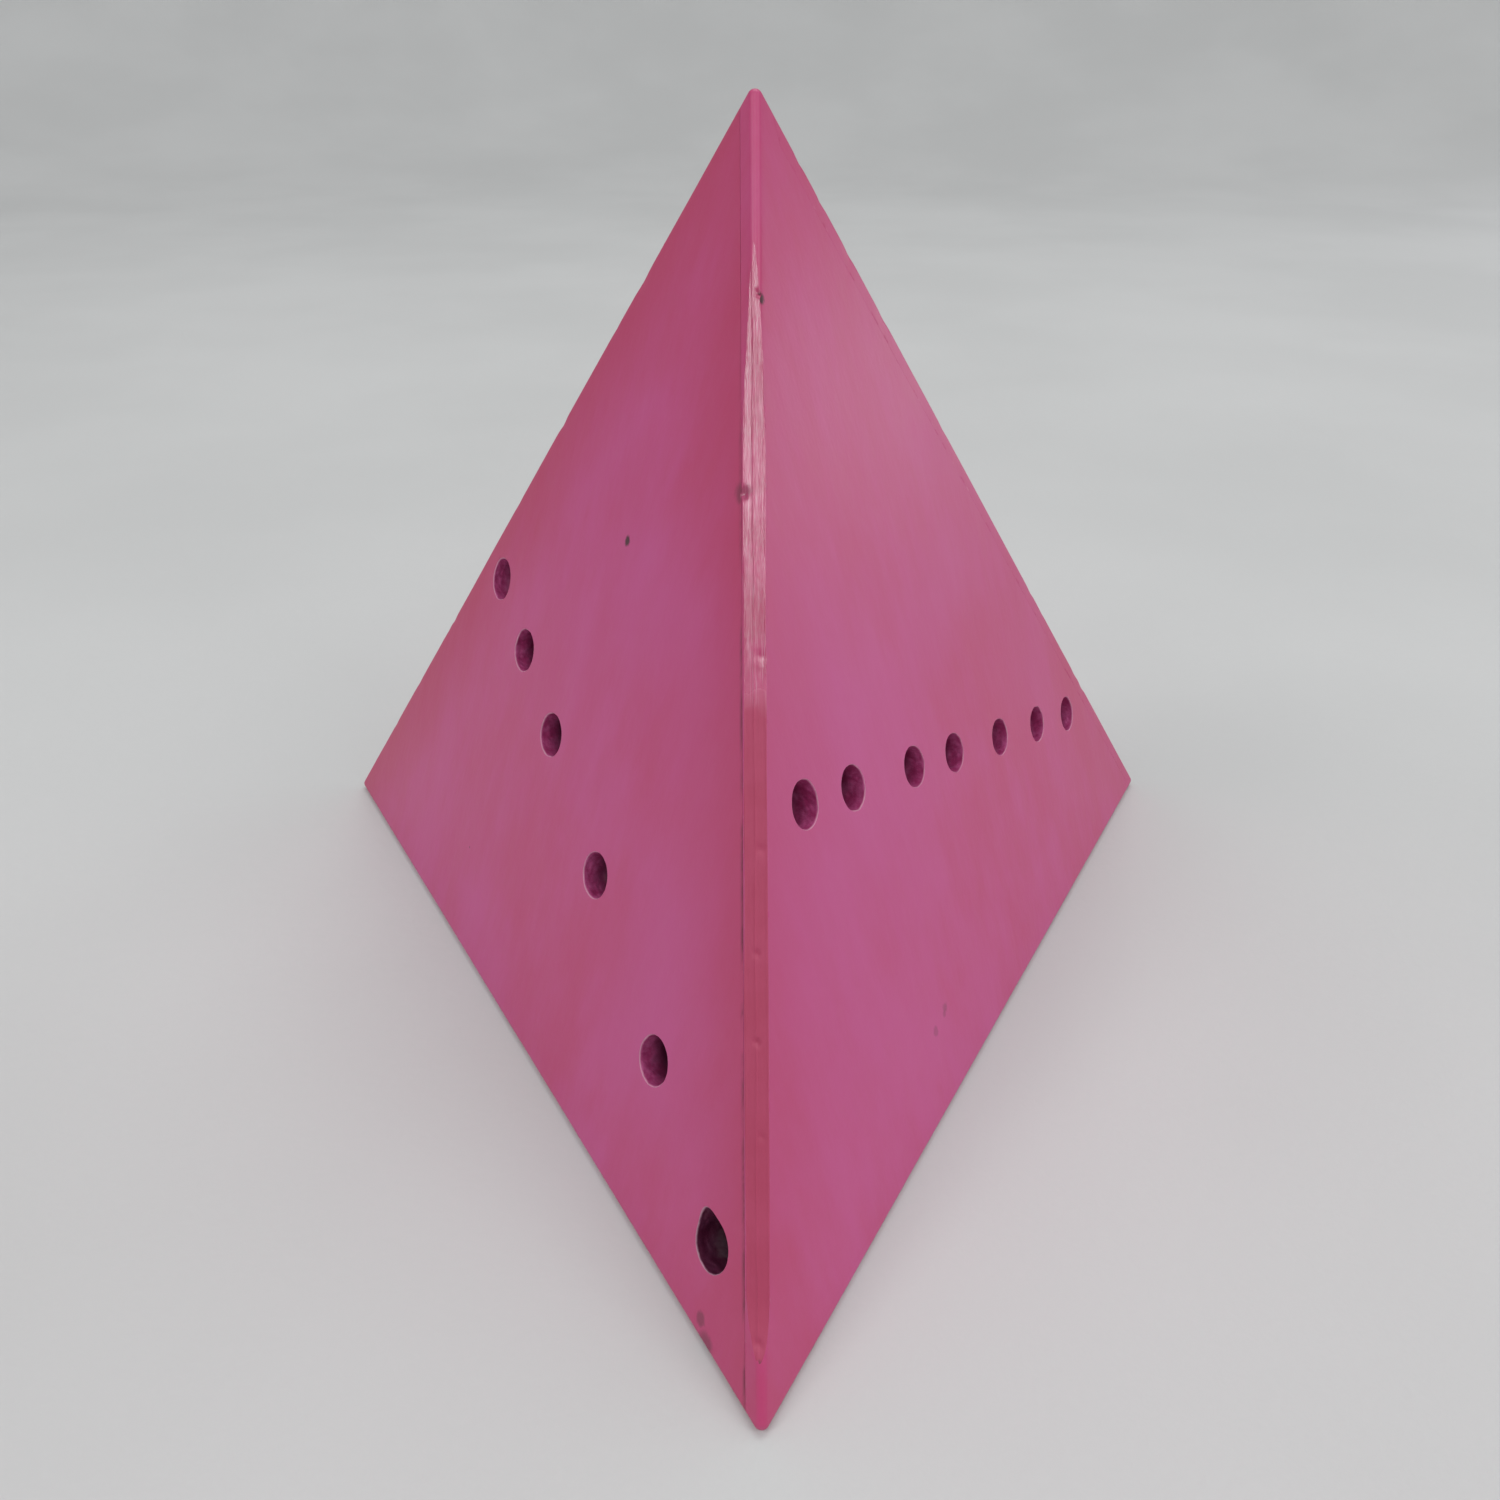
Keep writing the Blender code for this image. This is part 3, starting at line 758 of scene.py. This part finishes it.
def wall_frame(turn):
    """Frame on the middle of a wall's outer face: Z outwards, Y up the slope, X to the right."""
    z = wall_normal(turn)
    x = Vector((-math.sin(turn), math.cos(turn), 0))
    axes = Matrix((x, z.cross(x), z)).transposed().to_4x4()
    return Matrix.Translation(Vector(CENTRE) + INRADIUS * z) @ axes


PIT_POINT = 0.0012          # how much deeper a pit is in its middle than at its wall


def pit(name, spot, bore, depth, seed, place, notch, material):
    """Cutter for a drilled pit: rings down a rough wall, then in over a rounded bottom.

    The mouth flares by the lip. The radius wanders with angle and depth, and a notch widens it
    on one side near the mouth.
    """
    turn = np.linspace(0, 2 * math.pi, 72, endpoint=False)
    lip = 0.00018
    bowl = 0.0012
    radius = bore / 2
    wall_depth = np.linspace(lip, max(depth - bowl * 0.3, lip * 2), 14)
    inward = np.linspace(0, 1, 14)[1:] * math.pi / 2
    down = np.concatenate([[-0.0015, -0.0015, -0.0001, 0], wall_depth,
                           wall_depth[-1] + (PIT_POINT + bowl * 0.3) * np.sin(inward)])
    out = np.concatenate([[0, radius + 0.0006, radius + lip + 0.00008, radius + lip * 0.75],
                          np.full(14, radius), radius * np.cos(inward)])
    down, out = down[:, None], out[:, None]
    x, y = out * np.cos(turn), out * np.sin(turn)
    where = np.stack([x, y, np.broadcast_to(down, x.shape)], axis=-1).reshape(-1, 3)
    coarse = ripple(where, seed, 0.0016, 14).reshape(x.shape)
    fine = ripple(where, seed + 50, 0.0006, 20).reshape(x.shape)
    rough = coarse * 0.6 + fine * 0.4
    fade = np.clip(down / 0.0006, 0, 1)
    oval = 1 + 0.03 * np.cos(2 * turn + seed)
    one_side = np.exp(-((turn - 2.4) / 0.45) ** 2)
    wider = notch * one_side * np.exp(-(np.maximum(down, 0) / 0.0011) ** 2)
    scale = oval + rough * (0.012 + 0.05 * fade) + wider / radius
    deeper = rough * 0.00022 * fade
    grid = np.stack([x * scale, y * scale, -(down + deeper) + 0 * x], axis=-1)
    grid[0] = grid[0].mean(axis=0)
    grid[-1] = grid[-1].mean(axis=0)
    return around(name, grid, material, place @ Matrix.Translation(spot))


# Each row starts at a share of the median up from the right-hand foot, and slants across it.
LEFT_ROW = {
    "pivot": 0.2925, "skew": math.radians(3.8), "bore": 0.0045,
    "stations": (-0.134, 0.037, 0.240, 0.420, 0.542, 0.654),
    "depths": (0.0017, 0.0032, 0.0022, 0.0030, 0.0028, 0.0016),
}
RIGHT_ROW = {
    "pivot": 0.6406, "skew": math.radians(11.9), "bore": 0.0041,
    "stations": (-0.370, -0.264, -0.146, -0.020, 0.077, 0.205, 0.292),
    "depths": (0.0021, 0.0028, 0.0030, 0.0030, 0.0028, 0.0026, 0.0022),
}


def pit_spot(row, station):
    """Middle of a pit on the wall's face: the row crosses the median from the right-hand foot."""
    foot = Vector((EDGE / 2, -RADIUS / 2, 0))
    median = Vector((math.cos(math.radians(150)), math.sin(math.radians(150)), 0))
    heading = Matrix.Rotation(row["skew"], 3, "Z") @ median
    return foot + median * (row["pivot"] * MEDIAN) + heading * (station * MEDIAN)


def drill_row(wall, side, row, material):
    """Cuts a row of pits. Each has its own seed, and the left row's lowest is notched."""
    place = wall_frame(WALL_TURNS[side])
    for k, (station, depth) in enumerate(zip(row["stations"], row["depths"])):
        notch = 0.0007 if side == "left" and k == 0 else 0.0
        seed = 7 * k + len(side)
        cut(wall, pit(f"{side}_pit_{k}", pit_spot(row, station), row["bore"], depth, seed, place,
                      notch, material))


LOWEST_PIT = wall_frame(WALL_TURNS["left"]) @ pit_spot(LEFT_ROW, LEFT_ROW["stations"][0])
# Lit and shaded copies of one resin: the number is the strength of the painted shade in the pits,
# darker on the left wall.
torn = {"left": pit_resin_painted_shade("left_torn_resin", 0.88),
        "right": pit_resin_painted_shade("right_torn_resin", 0.60)}
torn["back"] = torn["right"]
rough_form = tetrahedron("outer_form", 0, 0, EDGE_ROUND, sanded, 190, 12, worn)

# Marks: the middle, the reach in mm and the strength of each.
FLAT_MARKS = (
    (on_edge(0.060, -0.0008), 0.9, 0.6),
    (on_edge(0.946, 0.0001), 0.8, 0.8),
    (on_edge(0.955, 0.0004), 0.5, 0.8),
    (on_edge(0.172, 0.0003), 0.5, 0.95),
    (on_edge(0.32, -0.0012), 1.0, 0.5),
)
FACE_MARKS = {
    "left": (
        (face_spot("left", -0.002, 0.204), 0.62, 1.0),
        (face_spot("left", 0.414, -0.281), 1.3, 0.5),
        (face_spot("left", 0.400, -0.270), 0.8, 0.5),
        (on_edge(0.32, -0.0014, 0.0018), 1.2, 0.5),
        (on_edge(0.060, -0.0009, 0.001), 1.1, 0.5),
    ),
    "right": (
        (face_spot("right", -0.107, -0.203), 0.7, 0.35),
        (face_spot("right", -0.110, -0.207), 0.6, 0.3),
        (face_spot("right", -0.133, -0.210), 0.6, 0.3),
        (on_edge(0.175, 0.0004, 0.0006), 0.55, 1.0),
    ),
    "back": ((face_spot("back", 0.12, 0.10), 0.7, 0.8),),
}
flat_paint = sanded_flat("sanded_flat", FLAT_MARKS)
SNUG = 0.00001              # half of the hairline that shows between two closed walls
BLANK_HALF = 0.05           # half width of the rough slab that a wall is cut from
base_form = base_frustum("base_form", GAP / 2, -WALL, WALL + GAP, sanded)
dowel_places = {}
walls = {}
for side, turn in WALL_TURNS.items():
    paint = painted_resin(side + "_paint", side, FACE_MARKS[side])
    form = bpy.data.objects.new(side + "_form", rough_form.data.copy())
    form.data.materials[0] = paint
    bpy.context.scene.collection.objects.link(form)
    blank = frustum(side + "_wall_slab", -WALL, EDGE_ROUND, BLANK_HALF, BLANK_HALF, sanded)
    half_turn = Matrix.Rotation(math.pi, 4, "Z")
    blank.data.transform(wall_frame(turn) @ half_turn @ on_axis().inverted())
    cut(blank, form, "INTERSECT")
    cut(blank, base_form)
    normal = wall_normal(turn)
    after, before = (wall_normal(turn + math.radians(step)) for step in (120, -120))
    cut(blank, seam_block(side + "_nose_block", before, normal, False, -SNUG))
    next_block = seam_block(side + "_next_block", normal, after, True, -SNUG)
    if side == "right":
        cut(next_block, seam_block("tip_block", after, before, True, SNUG))
    cut(blank, next_block)
    if side != "back":
        cut(blank, sanding_tool(side + "_sanding_tool", flat_paint))
    drill_row(blank, side, RIGHT_ROW if side == "right" else LEFT_ROW, torn[side])
    walls[side] = blank
SEAMS = (("front", "left", "right"), ("right", "right", "back"), ("left", "back", "left"))
for corner, cut_side, nose_side in SEAMS:
    back, nose = wall_normal(WALL_TURNS[cut_side]), wall_normal(WALL_TURNS[nose_side])
    for height, offset in (("upper", DOWEL_SPREAD), ("lower", -DOWEL_SPREAD)):
        name = f"{corner}_{height}_dowel"
        place = across_seam(back, nose, (nose - back).normalized(), offset)
        dowel_places[name] = (place, nose_side + "_side")
        hole = dowel_hole(name + "_hole", place)
        cut(walls[cut_side], hole)
        cut(walls[nose_side], hole)
for side, wall in walls.items():
    cut(wall, dowel_hole(side + "_foot_hole", base_dowel_places[side]))
    settle(wall, side + "_side", side + "_wall")

# ---------------------------------------------------------------------------------------------
# Dowels. Ground steel pins with chamfered ends, pressed into one piece of each pair. Two cross
# each slanted seam and one crosses each seam of the base.


def ground_steel(name):
    """Bright steel with fine grinding marks."""
    paint = Paint(name, Metallic=1.0)
    rings = paint.noise(1800, 2)
    colour = paint.blend(rings.band(0.3, 0.7), (0.52, 0.52, 0.54), (0.68, 0.68, 0.69))
    paint.feed("Base Color", colour)
    paint.feed("Roughness", rings * 0.18 + 0.2)
    paint.feed("Normal", paint.bump(rings, 0.12, 0.0001))
    return paint.material


steel = ground_steel("ground_steel")
for side, place in base_dowel_places.items():
    dowel_places[side + "_base_dowel"] = (place, "base")
for name, (place, body) in dowel_places.items():
    half, bevel = DOWEL_LENGTH / 2, 0.0003
    steps = np.linspace(0, math.pi / 2, 5)
    profile = [(0, half)]
    profile += [(DOWEL_RADIUS - bevel * (1 - math.sin(a)), half - bevel * (1 - math.cos(a)))
                for a in steps]
    profile += [(radius, -height) for radius, height in reversed(profile)]
    settle(lathe(name + "_pin", profile, steel, place, 48), body, name)

# ---------------------------------------------------------------------------------------------
# Stoppers. Tapered plugs cast from silicone. The pour stopper has a blind hole in its head for
# a hook, and each stopper ends flush with the cavity's floor.

stopper_silicone = silicone("stopper_silicone", (0.72, 0.73, 0.70))


def eased(corners, radius=0.0002, steps=4):
    """Profile whose inner corners are rounded: each becomes a short arc between its neighbours."""
    line = [corners[0]]
    for before, here, after in zip(corners, corners[1:], corners[2:]):
        before, here, after = (np.array(p, float) for p in (before, here, after))
        start = here + (before - here) * min(radius / np.linalg.norm(before - here), 0.45)
        end = here + (after - here) * min(radius / np.linalg.norm(after - here), 0.45)
        for t in np.linspace(0, 1, steps):
            line.append(tuple((1 - t) ** 2 * start + 2 * t * (1 - t) * here + t ** 2 * end))
    return line + [corners[-1]]


GRIP_DEEP = 0.0045          # depth of the blind hole in the pour stopper's head


def stopper(name, place, top, foot, head, grip, body, node):
    """Tapered plug with a flat head, a clearance smaller all round than its hole."""
    rise = (top - foot) / FLOOR
    seat = HEAD_RECESS + HEAD_THICK - GAP
    profile = [(0, FLOOR), (top - GAP, FLOOR), (foot + rise * seat - GAP, seat), (head - GAP, seat),
               (head - GAP, HEAD_RECESS)]
    if grip:
        profile += [(grip, HEAD_RECESS), (grip, HEAD_RECESS + GRIP_DEEP),
                    (0, HEAD_RECESS + GRIP_DEEP)]
    else:
        profile += [(0, HEAD_RECESS)]
    plug = lathe(name, eased(profile), stopper_silicone, place)
    settle(plug, body, node)


stopper("pour_stopper_plug", on_axis(), **POUR, grip=0.0016,
        body="pour_plug", node="pour_stopper")
for corner, turn in CORNER_TURNS.items():
    stopper(corner + "_vent_stopper_plug", on_axis(turn, VENT_OUT), **VENT, grip=0,
            body=corner + "_vent_plug", node=corner + "_vent_stopper")

for name in spent:
    bpy.data.objects.remove(bpy.data.objects[name], do_unlink=True)
bpy.data.objects.remove(rough_form, do_unlink=True)

# ---------------------------------------------------------------------------------------------
# Table, light and camera. The table is a plain pale grey top that bends up all round into a
# high rim. A wide soft lamp hangs overhead and behind, a narrow one stands in front, another at
# the left, a broad one at the right and a low dim strip far right.


def stage_grey(name):
    """Dull pale grey, faintly clouded, with a fine weave."""
    paint = Paint(name, Roughness=0.9)
    weave = paint.noise(900, 2)
    cloud = paint.noise(9, 3).band(0.3, 0.7)
    paint.feed("Base Color", paint.blend(cloud, (0.60, 0.605, 0.60), (0.64, 0.645, 0.64)))
    paint.feed("Normal", paint.bump(weave, 0.15, 0.0003))
    return paint.material


FLAT_OUT = 0.75             # radius of the level part
BEND = 0.5                  # radius of the bend
RIM = 0.85                  # height of the rim
TABLE_THICK = 0.01
BELOW = 0.00005             # the top lies a hair under the base, so the two faces never mix
curve = np.linspace(0, math.pi / 2, 24)
out = np.concatenate([[0, 0.2, 0.5], FLAT_OUT + BEND * np.sin(curve), [FLAT_OUT + BEND]])
height = np.concatenate([[0, 0, 0], BEND * (1 - np.cos(curve)), [RIM]]) - BELOW
profile = np.stack([out, height], axis=-1)
back = profile[::-1] + (TABLE_THICK, -TABLE_THICK)
back[-1, 0] = 0
table_profile = np.concatenate([back[::-1], profile[::-1]])
table = lathe("table", table_profile, stage_grey("stage_grey"), None, 128)
table.data.shade_smooth()

world = bpy.data.worlds.new("studio")
bpy.context.scene.world = world
world.use_nodes = True
sky = world.node_tree.nodes["Background"]
sky.inputs["Color"].default_value = (0.95, 0.97, 1.0, 1.0)
sky.inputs["Strength"].default_value = 0.36
bpy.context.scene.view_settings.view_transform = "Standard"


def soft_light(name, turn, rise, away, size, power, tint=(1.0, 1.0, 1.0)):
    """Soft panel facing the form, placed by its compass turn and its rise, in degrees."""
    turn, rise = math.radians(turn), math.radians(rise)
    target = Vector((0, 0, 0.05))
    level = math.cos(rise)
    way = Vector((level * math.cos(turn), level * math.sin(turn), math.sin(rise)))
    place = target + way * away
    lamp = bpy.data.lights.new(name, "AREA")
    lamp.shape = "RECTANGLE"
    lamp.size, lamp.size_y = size
    lamp.energy = power
    lamp.color = tint
    light = bpy.data.objects.new(name, lamp)
    light.visible_camera = False
    aim = (target - place).to_track_quat("-Z", "Y")
    light.matrix_world = Matrix.Translation(place) @ aim.to_matrix().to_4x4()
    bpy.context.scene.collection.objects.link(light)


soft_light("overhead", 75, 66, 1.1, (1.0, 0.7), 4.0)
soft_light("front_window", -92, 56, 1.2, (0.26, 0.50), 2.2)
soft_light("left_window", -150, 43, 1.2, (0.22, 0.50), 2.4)
soft_light("right_key", -30, 40, 1.2, (0.6, 0.5), 2.6)
soft_light("right_panel", 28, 4, 0.8, (0.6, 0.12), 0.4, (0.92, 0.93, 1.0))

LENS_SHARE = 1241.85 / 1500     # focal length as a share of the sensor's width
STAND = (-0.01589, -1.06561, 0.85335)   # from the middle of the form's foot, in edge lengths
YAW, TIP, ROLL = (math.radians(a) for a in (-0.731, 90 - 30.738, 0.165))
lens = bpy.data.cameras.new("camera")
lens.sensor_width = 36.0
lens.lens = 36.0 * LENS_SHARE
lens.clip_start = 0.005
lens.clip_end = 20.0
camera = bpy.data.objects.new("camera", lens)
stand = Vector(STAND) * EDGE + Vector((0, CENTRE[1], 0))
camera.matrix_world = (Matrix.Translation(stand) @ Matrix.Rotation(YAW, 4, "Z")
                       @ Matrix.Rotation(TIP, 4, "X") @ Matrix.Rotation(ROLL, 4, "Z"))
bpy.context.scene.collection.objects.link(camera)
bpy.context.scene.camera = camera
